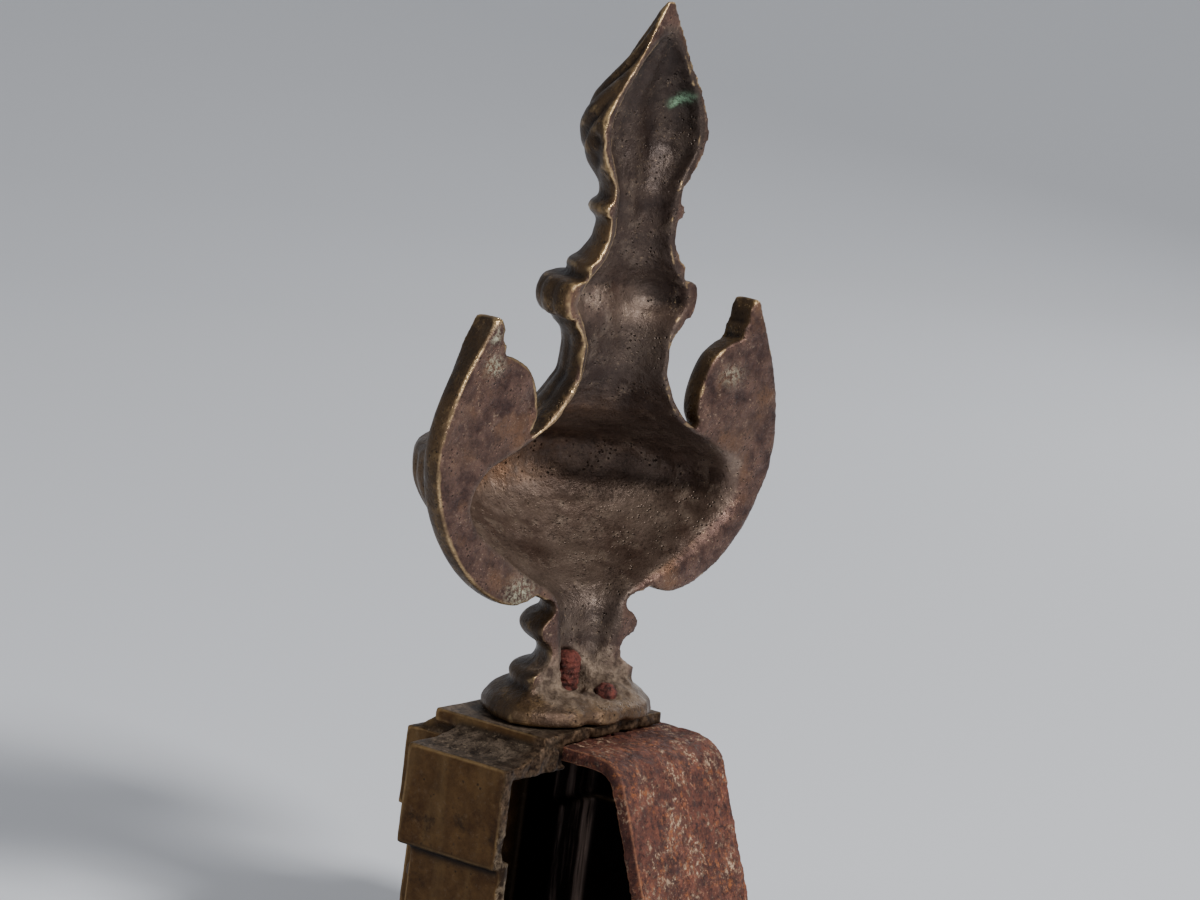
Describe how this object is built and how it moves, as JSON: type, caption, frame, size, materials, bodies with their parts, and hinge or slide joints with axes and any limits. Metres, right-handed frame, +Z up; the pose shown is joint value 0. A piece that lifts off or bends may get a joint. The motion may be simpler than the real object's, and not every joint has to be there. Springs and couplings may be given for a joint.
{
  "type": "urn finial",
  "caption": "Hollow-backed cast urn finial with leaf-scroll handles and a flame, bolted to a hollow pedestal over a bent flat strap.",
  "frame": {"origin": "middle of the whole part's box, at the level of the pedestal's underside", "axes": "+Z up along the urn, -Y the finished front, +Y the open back, X across the pedestal"},
  "size_m": [0.1042, 0.0828, 0.2151],
  "materials": {
    "urn_brass": "dark brown patina, worn gold on the edges",
    "pedestal_brass": "dull olive brown patina",
    "strap_iron": "red-brown rust",
    "stud_iron": "red rust"
  },
  "bodies": {
    "root": {"urn": "urn_brass", "pedestal": "pedestal_brass", "iron_strap": "strap_iron", "fixing_stud": "stud_iron", "locating_pin": "stud_iron", "pin_nut": "stud_iron"}
  },
  "joints": []
}
